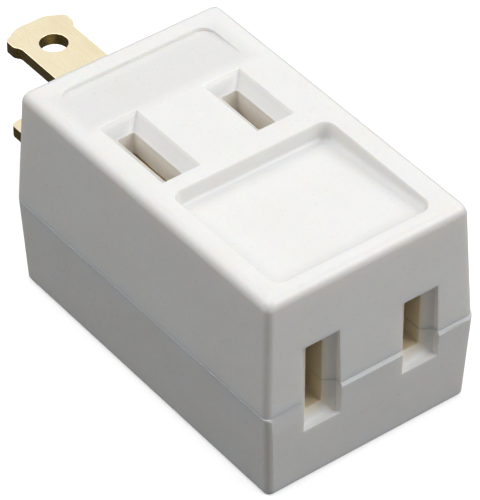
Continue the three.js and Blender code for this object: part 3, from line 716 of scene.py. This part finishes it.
def recess_shade(tree):
    """How much light the plastic keeps in funnels, at the walls of the large recess and in the small one."""
    funnels = soft_box(tree, (-SLOT_ZONE_SIDE, FACE_SLOT_ZONE[0], 3),
                       (SLOT_ZONE_SIDE, FACE_SLOT_ZONE[1], 25.7), 0.3)
    recess = soft_box(tree, (-11, -20, 20), (10.4, -1, 25.7), 0.3)
    open_floor = soft_box(tree, (*POCKET_LOW, 10), (*POCKET_HIGH, 40), 2.6)
    walls = math_of(tree, "MULTIPLY", recess, math_of(tree, "SUBTRACT", 1.0, open_floor))
    label = soft_box(tree, (-12, 10.5, 20), (11, 18.9, 27.6), 1.6)
    lost = math_of(tree, "MULTIPLY", funnels, FUNNEL_SHADE)
    lost = math_of(tree, "MULTIPLY_ADD", walls, RECESS_WALL_SHADE, lost)
    lost = math_of(tree, "MULTIPLY_ADD", label, LABEL_SHADE, lost)
    return math_of(tree, "SUBTRACT", 1.0, lost)


def shaded_blade_sides(tree):
    """Mask of the blades between their two flat faces, the sheared edges and the walls of the holes, where
    painted shade goes.
    """
    masks = []
    for low, high in BLADE_BOXES.values():
        masks.append(soft_box(tree, (-20, 20, low.z / MM + 0.05), (20, 50, high.z / MM - 0.05), 0.06))
    return math_of(tree, "MAXIMUM", *masks)


def tinted(tree, mask, under, tint):
    """Colour output that turns to a tint where a mask is 1."""
    made = tree.nodes.new("ShaderNodeMix")
    made.data_type = "RGBA"
    tree.links.new(mask, made.inputs["Factor"])
    tree.links.new(under, made.inputs["A"])
    made.inputs["B"].default_value = tint
    return made.outputs["Result"]


def material_start(name):
    """A new material with its Principled BSDF and the shared skin effect."""
    material = bpy.data.materials.new(name)
    material.use_nodes = True
    tree = material.node_tree
    shader = tree.nodes["Principled BSDF"]
    skin = tree.nodes.new("ShaderNodeGroup")
    skin.node_tree = moulded_group()
    return material, tree, shader, skin


def plastic(settings, name, tint):
    """White moulded plastic: satin skin, faint warm patches, a fine grain, painted shade in the funnels and
    recesses, painted warm bounce light in the face slots and painted warm shade in the end slots.
    """
    found = bpy.data.materials.get(name)
    if found:
        return found
    material, tree, shader, skin = material_start(name)
    skin.inputs["Patch scale"].default_value = 160.0
    skin.inputs["Grain scale"].default_value = 3200.0
    spread = node_of(tree, "ShaderNodeMapRange", Value=skin.outputs["Patches"], From_Min=0.35, From_Max=0.7)
    blend = tree.nodes.new("ShaderNodeMix")
    blend.data_type = "RGBA"
    tree.links.new(spread.outputs["Result"], blend.inputs["Factor"])
    # A tint below 1 darkens the whole colour: painted shade.
    blend.inputs["A"].default_value = [channel * tint for channel in settings.plastic[:3]] + [1]
    blend.inputs["B"].default_value = [channel * tint for channel in settings.plastic_warm[:3]] + [1]
    shaded = node_of(tree, "ShaderNodeHueSaturation", Value=recess_shade(tree),
                     Color=blend.outputs["Result"])
    # Painted light and shade on soft boxes: warm bounce light in the face slots, dark warm shade in the end
    # slots.
    face_slot_bounce_mask = soft_box(tree, (-SLOT_ZONE_SIDE, FACE_SLOT_ZONE[0], 1.2),
                          (SLOT_ZONE_SIDE, FACE_SLOT_ZONE[1], TOP - 1.2), 1.2)
    end_slot_shade_mask = soft_box(tree, (-SLOT_ZONE_SIDE, -20.9, 3), (SLOT_ZONE_SIDE, -12, 21), 0.9)
    painted_slot_light_and_shade = tinted(tree, face_slot_bounce_mask, shaded.outputs["Color"], settings.plastic_slot_bounce_light)
    painted_slot_light_and_shade = tinted(tree, end_slot_shade_mask, painted_slot_light_and_shade, settings.plastic_end_slot_shade)
    tree.links.new(painted_slot_light_and_shade, shader.inputs["Base Color"])
    rough = node_of(tree, "ShaderNodeMapRange", Value=skin.outputs["Grain"], From_Min=0.3, From_Max=0.7,
                    To_Min=settings.gloss - 0.04, To_Max=settings.gloss + 0.06)
    tree.links.new(rough.outputs["Result"], shader.inputs["Roughness"])
    waves = node_of(tree, "ShaderNodeBump", Height=skin.outputs["Patches"], Strength=0.12, Distance=0.0006)
    bump = node_of(tree, "ShaderNodeBump", Height=skin.outputs["Grain"], Strength=0.06, Distance=0.00003,
                   Normal=waves.outputs["Normal"])
    tree.links.new(bump.outputs["Normal"], shader.inputs["Normal"])
    shader.inputs["IOR"].default_value = 1.5
    shader.inputs["Subsurface Weight"].default_value = 0.5
    shader.inputs["Subsurface Radius"].default_value = (1.0, 0.72, 0.45)
    shader.inputs["Subsurface Scale"].default_value = 1.6 * MM
    return material


def brass(settings, name, base, worn, roughness):
    """Rolled brass: lengthways rolling lines, rubbed patches, a fine grain, and painted shade on the blades'
    sheared edges and hole walls.
    """
    found = bpy.data.materials.get(name)
    if found:
        return found
    material, tree, shader, skin = material_start(name)
    skin.inputs["Patch scale"].default_value = 260.0
    skin.inputs["Grain scale"].default_value = 5000.0
    where = tree.nodes.new("ShaderNodeTexCoord")
    stretch = node_of(tree, "ShaderNodeMapping", Vector=where.outputs["Object"],
                      Scale=(9000.0, 260.0, 9000.0))
    lines = node_of(tree, "ShaderNodeTexNoise", Vector=stretch.outputs["Vector"], Scale=1.0, Detail=3.0)
    spread = node_of(tree, "ShaderNodeMapRange", Value=skin.outputs["Patches"], From_Min=0.35,
                     From_Max=0.65)
    blend = tree.nodes.new("ShaderNodeMix")
    blend.data_type = "RGBA"
    tree.links.new(spread.outputs["Result"], blend.inputs["Factor"])
    blend.inputs["A"].default_value = base
    blend.inputs["B"].default_value = worn
    # Painted shade on the blades' sides.
    stamped = tinted(tree, shaded_blade_sides(tree), blend.outputs["Result"], settings.blade_edge_painted_shade)
    tree.links.new(stamped, shader.inputs["Base Color"])
    rough = node_of(tree, "ShaderNodeMapRange", Value=lines.outputs["Fac"], From_Min=0.3, From_Max=0.7,
                    To_Min=roughness - 0.06, To_Max=roughness + 0.08)
    tree.links.new(rough.outputs["Result"], shader.inputs["Roughness"])
    rolled = node_of(tree, "ShaderNodeBump", Height=lines.outputs["Fac"], Strength=0.05, Distance=0.00003)
    bump = node_of(tree, "ShaderNodeBump", Height=skin.outputs["Grain"], Strength=0.08, Distance=0.00003,
                   Normal=rolled.outputs["Normal"])
    tree.links.new(bump.outputs["Normal"], shader.inputs["Normal"])
    shader.inputs["Metallic"].default_value = 1.0
    return material


class TAP_OT_cover(bpy.types.Operator):
    """Model the cover with its top outlet, recesses, half of the end outlet and inner ribs"""
    bl_idname = "tap.cover"
    bl_label = "Cover"

    def execute(self, context):
        settings = context.scene.tap_housing
        low = Vector((COVER_LOW.x, COVER_LOW.y, BASE_HIGH.z + 0.1 * MM))
        piece = housing_block("cover", settings, low, COVER_HIGH, True, settings.top_edge)
        add_inside(piece, settings, True)
        seam_joint(piece, True)
        combine(piece, blade_opening("neutral", NEUTRAL_HEAD), "DIFFERENCE")
        cut_outlets(piece, settings, True)
        combine(piece, pocket_tool(settings), "DIFFERENCE")
        combine(piece, label_tool(settings), "DIFFERENCE")
        break_edges(piece, settings.edge_break, lambda point: is_outer(point, settings))
        smooth(piece)
        dress(piece, plastic(settings, "white_cover_plastic", 1.0))
        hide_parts("upper_shell")
        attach(piece, "root")
        return {"FINISHED"}


class TAP_OT_base(bpy.types.Operator):
    """Model the base with its underside outlet, half of the end outlet and inner ribs"""
    bl_idname = "tap.base"
    bl_label = "Base"

    def execute(self, context):
        settings = context.scene.tap_housing
        piece = housing_block("base", settings, BASE_LOW, BASE_HIGH, False, settings.base_edge)
        for tool in ledge_cuts(settings):
            combine(piece, tool, "DIFFERENCE")
        add_inside(piece, settings, False)
        seam_joint(piece, False)
        combine(piece, blade_opening("hot", HOT_SHANK), "DIFFERENCE")
        cut_outlets(piece, settings, False)
        break_edges(piece, settings.edge_break, lambda point: is_outer(point, settings))
        smooth(piece)
        # The base's plastic is a tint of 0.985 darker than the cover's: painted shade on the lower shell.
        dress(piece, plastic(settings, "white_base_plastic_painted_shade", 0.985))
        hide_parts("lower_shell")
        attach(piece, "root")
        return {"FINISHED"}


class TAP_OT_blades(bpy.types.Operator):
    """Model the two stamped plug blades"""
    bl_idname = "tap.blades"
    bl_label = "Blades"

    def execute(self, context):
        settings = context.scene.tap_blades
        tip = BLADE_BOXES["neutral"][1].y

        def at_tip(edge):
            return upright(edge) and edge.verts[0].co.y > tip - 3.5 * MM

        for pole, (low, high) in BLADE_BOXES.items():
            shoulder_end, shank_start = COVER_HIGH.y - 2.6 * MM, COVER_HIGH.y - 2.56 * MM
            if pole == "neutral":
                rows = [(NEUTRAL_SHOULDER, low.y), (NEUTRAL_SHOULDER, shoulder_end),
                        (NEUTRAL_SHANK, shank_start), (NEUTRAL_SHANK, tip - 3.27 * MM),
                        (NEUTRAL_HEAD, tip - 2.75 * MM), (NEUTRAL_HEAD, tip - 1.15 * MM), (NEUTRAL_TIP, tip)]
            else:
                rows = [(HOT_SHOULDER, low.y), (HOT_SHOULDER, shoulder_end),
                        (HOT_SHANK, shank_start), (HOT_SHANK, tip - 0.35 * MM), (HOT_TIP, tip)]
            piece = self.strip(f"{pole}_plug_blade", rows, low.z, high.z)
            round_edges(piece, [(at_tip, 0.35 * MM)], segments=4)
            below, above = low.z - OVERCUT, high.z + OVERCUT
            hole = post("hole", 0, tip - settings.hole_from_tip, below, above, settings.hole, 64)
            combine(piece, hole, "DIFFERENCE")
            rivet_low, rivet_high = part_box(f"{pole}_blade_rivet")
            hole = post("hole", 0, (rivet_low.y + rivet_high.y) / 2, below, above, RIVET_HOLE, 32)
            combine(piece, hole, "DIFFERENCE")
            break_edges(piece, settings.edge_break, lambda point: True, math.radians(50))
            smooth(piece)
            rolled = brass(settings, "rolled_blade_brass", settings.brass, settings.brass_worn,
                           settings.roughness)
            dress(piece, rolled)
            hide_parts(f"{pole}_blade")
            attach(piece, "root")
        return {"FINISHED"}

    def strip(self, name, rows, low, high):
        """A flat strip along Y. A row is its half width in millimetres and the place of that width."""
        (half, start), (_, second) = rows[:2]
        piece = block(name, (-half * MM, start, low), (half * MM, second, high))
        activate(piece)
        bpy.ops.object.mode_set(mode="EDIT")
        pick(piece, "FACE", end_face(1, 1))
        width, last = half, second
        for half, along in rows[2:]:
            bpy.ops.mesh.extrude_region_move(TRANSFORM_OT_translate={"value": (0, along - last, 0)})
            bpy.ops.transform.resize(value=(half / width, 1, 1),
                                     center_override=(0, along, (low + high) / 2))
            width, last = half, along
        bpy.ops.object.mode_set(mode="OBJECT")
        return piece


class TAP_OT_contacts(bpy.types.Operator):
    """Give the bus plates, spring leaves and rivets their brass"""
    bl_idname = "tap.contacts"
    bl_label = "Contacts"

    def execute(self, context):
        settings = context.scene.tap_blades
        strip = brass(settings, "rolled_contact_brass", settings.contact, settings.brass, 0.34)
        rivet = brass(settings, "headed_rivet_brass", settings.contact, settings.contact, 0.4)
        for pole in POLES:
            for kind in ("bus", "top_leaf", "base_leaf", "end_leaf"):
                dress(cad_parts[f"{pole}_{kind}"], strip)
            for kind in ("blade_rivet", "top_rivet", "base_rivet", "end_rivet"):
                dress(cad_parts[f"{pole}_{kind}"], rivet)
        return {"FINISHED"}


class TAP_OT_stage(bpy.types.Operator):
    """Set the floor, the lights, the background and the camera"""
    bl_idname = "tap.stage"
    bl_label = "Stage"

    def execute(self, context):
        settings = context.scene.tap_stage
        self.floor(settings)
        self.world(context.scene, settings)
        self.softbox("top_light", (0.05, 0.05, 1.0), TOP_LIGHT_SIZE, settings.key_power)
        self.softbox("left_high_light", (-0.3536, 0.3536, 0.866), SIDE_LIGHT_SIZE, settings.left_high_power)
        self.softbox("left_low_light", (-0.5792, 0.5792, 0.5736), SIDE_LIGHT_SIZE, settings.left_low_power)
        self.softbox("right_light", (0.5792, -0.5792, 0.5736), SIDE_LIGHT_SIZE, settings.right_power)
        self.camera(context.scene)
        return {"FINISHED"}

    def floor(self, settings):
        """A wide pale floor: white to the camera, grey in the light that it throws back."""
        deselect()
        bpy.ops.mesh.primitive_plane_add(size=settings.floor_size, location=(0, 0, 0))
        floor = bpy.context.object
        floor.name = "floor"
        bpy.ops.object.transform_apply(location=True, rotation=True, scale=True)
        material = bpy.data.materials.new("pale_floor")
        material.use_nodes = True
        tree = material.node_tree
        tree.nodes.clear()
        path = tree.nodes.new("ShaderNodeLightPath")
        lit = node_of(tree, "ShaderNodeBsdfDiffuse", Color=settings.floor_white)
        glow = node_of(tree, "ShaderNodeEmission", Color=settings.floor_white, Strength=settings.floor_glow)
        seen = node_of(tree, "ShaderNodeAddShader", _0=lit.outputs["BSDF"], _1=glow.outputs["Emission"])
        bounced = node_of(tree, "ShaderNodeBsdfDiffuse", Color=settings.floor_grey)
        mixed = node_of(tree, "ShaderNodeMixShader", _0=path.outputs["Is Camera Ray"],
                        _1=bounced.outputs["BSDF"], _2=seen.outputs["Shader"])
        end = tree.nodes.new("ShaderNodeOutputMaterial")
        tree.links.new(mixed.outputs["Shader"], end.inputs["Surface"])
        floor.data.materials.append(material)

    def world(self, scene, settings):
        """White all round for the camera and for reflections, and a plain even light."""
        world = bpy.data.worlds.new("studio")
        world.use_nodes = True
        scene.world = world
        tree = world.node_tree
        tree.nodes.clear()
        path = tree.nodes.new("ShaderNodeLightPath")
        direct = math_of(tree, "MAXIMUM", path.outputs["Is Camera Ray"], path.outputs["Is Glossy Ray"])
        shown = math_of(tree, "MAXIMUM", direct, path.outputs["Is Transmission Ray"])
        strength = node_of(tree, "ShaderNodeMapRange", Value=shown, To_Min=settings.ambient, To_Max=1.0)
        back = node_of(tree, "ShaderNodeBackground", Color=(1, 1, 1, 1),
                       Strength=strength.outputs["Result"])
        end = tree.nodes.new("ShaderNodeOutputWorld")
        tree.links.new(back.outputs["Background"], end.inputs["Surface"])

    def softbox(self, name, direction, size, watts):
        """A square light that looks at the middle of the housing from a direction."""
        direction = Vector(direction).normalized()
        data = bpy.data.lights.new(name, "AREA")
        data.shape = "SQUARE"
        data.size = size
        data.energy = watts
        lamp = bpy.data.objects.new(name, data)
        bpy.context.scene.collection.objects.link(lamp)
        lamp.location = place(0, 0, 12) + direction * LIGHT_DISTANCE
        lamp.rotation_euler = direction.to_track_quat("Z", "Y").to_euler()
        lamp.visible_camera = False

    def camera(self, scene):
        """The photograph's view."""
        level = math.cos(CAMERA_ELEVATION)
        away = Vector((math.sin(CAMERA_AZIMUTH) * level, -math.cos(CAMERA_AZIMUTH) * level,
                       math.sin(CAMERA_ELEVATION)))
        data = bpy.data.cameras.new("camera")
        data.sensor_fit = "HORIZONTAL"
        data.sensor_width = SENSOR
        data.lens = SENSOR * FOCAL_PIXELS / PICTURE_WIDTH
        data.clip_start = 0.01
        data.clip_end = 20
        camera = bpy.data.objects.new("camera", data)
        scene.collection.objects.link(camera)
        camera.location = place(*CAMERA_TARGET) + away * CAMERA_DISTANCE
        camera.rotation_euler = away.to_track_quat("Z", "Y").to_euler()
        scene.camera = camera
        scene.view_settings.view_transform = "Standard"


class TAP_PT_panel(bpy.types.Panel):
    """Sidebar list of the pieces"""
    bl_idname = "TAP_PT_panel"
    bl_label = "Cube tap"
    bl_space_type = "VIEW_3D"
    bl_region_type = "UI"
    bl_category = "Cube tap"

    def draw(self, context):
        for operator in OPERATORS:
            self.layout.operator(operator.bl_idname)


OPERATORS = (TAP_OT_cover, TAP_OT_base, TAP_OT_blades, TAP_OT_contacts, TAP_OT_stage)
SETTINGS = {
    "tap_housing": TapHousingSettings,
    "tap_blades": TapBladeSettings,
    "tap_stage": TapStageSettings,
}


def register():
    """Registers the settings, the operators and the panel."""
    for group in SETTINGS.values():
        bpy.utils.register_class(group)
    for name, group in SETTINGS.items():
        setattr(bpy.types.Scene, name, PointerProperty(type=group))
    for operator in OPERATORS:
        bpy.utils.register_class(operator)
    bpy.utils.register_class(TAP_PT_panel)


def unregister():
    """Takes away what register() added."""
    bpy.utils.unregister_class(TAP_PT_panel)
    for operator in OPERATORS:
        bpy.utils.unregister_class(operator)
    for name, group in SETTINGS.items():
        delattr(bpy.types.Scene, name)
        bpy.utils.unregister_class(group)


def main():
    """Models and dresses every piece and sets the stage."""
    register()
    bpy.ops.tap.cover()
    bpy.ops.tap.base()
    bpy.ops.tap.blades()
    bpy.ops.tap.contacts()
    bpy.ops.tap.stage()


if __name__ == "__main__":
    main()
